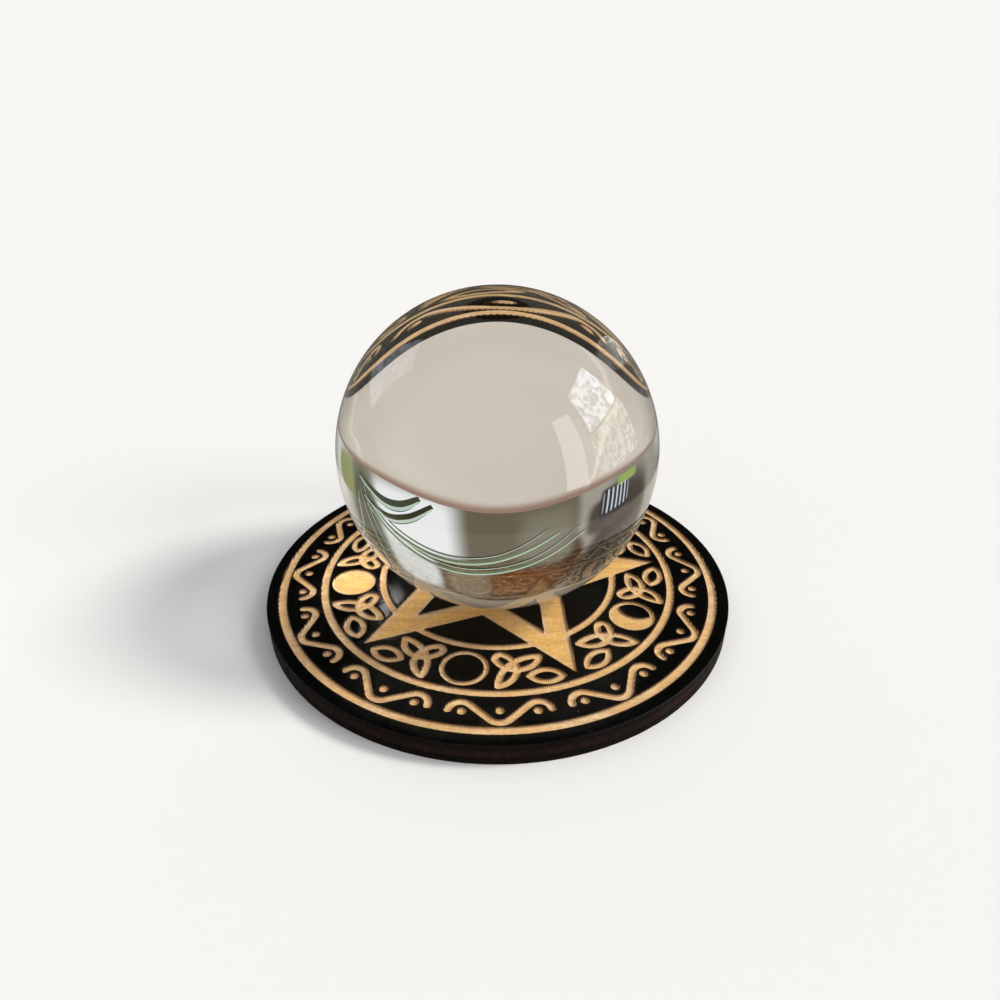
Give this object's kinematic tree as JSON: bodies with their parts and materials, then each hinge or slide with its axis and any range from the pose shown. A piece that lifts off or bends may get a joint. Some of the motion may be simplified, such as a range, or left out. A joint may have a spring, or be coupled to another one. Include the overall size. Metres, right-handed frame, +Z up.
{
  "type": "crystal ball on engraved stand",
  "caption": "Clear glass ball resting in the seat hole of a flat round plywood stand, black lacquered and laser engraved with rings, a star, moons, knots and waves.",
  "frame": {"origin": "middle of the stand's underside, on the surface it stands on", "axes": "+Z up through the ball's centre; the usual viewer stands at -Y with +X to the right"},
  "size_m": [0.092, 0.092, 0.062],
  "materials": {
    "glass": "polished clear solid glass",
    "face_wood": "laser engraved birch veneer with scorched edges",
    "core_wood": "laser cut ply edge, burnt brown",
    "back_wood": "laser cut ply edge, burnt brown",
    "lacquer": "black satin gloss lacquer"
  },
  "bodies": {
    "stand": {"face_ply": "face_wood", "core_ply": "core_wood", "back_ply": "back_wood", "lacquer_rim": "lacquer", "lacquer_wave_band": "lacquer", "lacquer_knot_band": "lacquer", "lacquer_star_field": "lacquer", "lacquer_star_windows": "lacquer"},
    "ball": {"crystal_ball": "glass"}
  },
  "joints": [
    {"name": "ball_lift", "type": "slide", "parent": "stand", "child": "ball", "axis": [0, 0, 1], "range_m": [0, 0.07]}
  ]
}
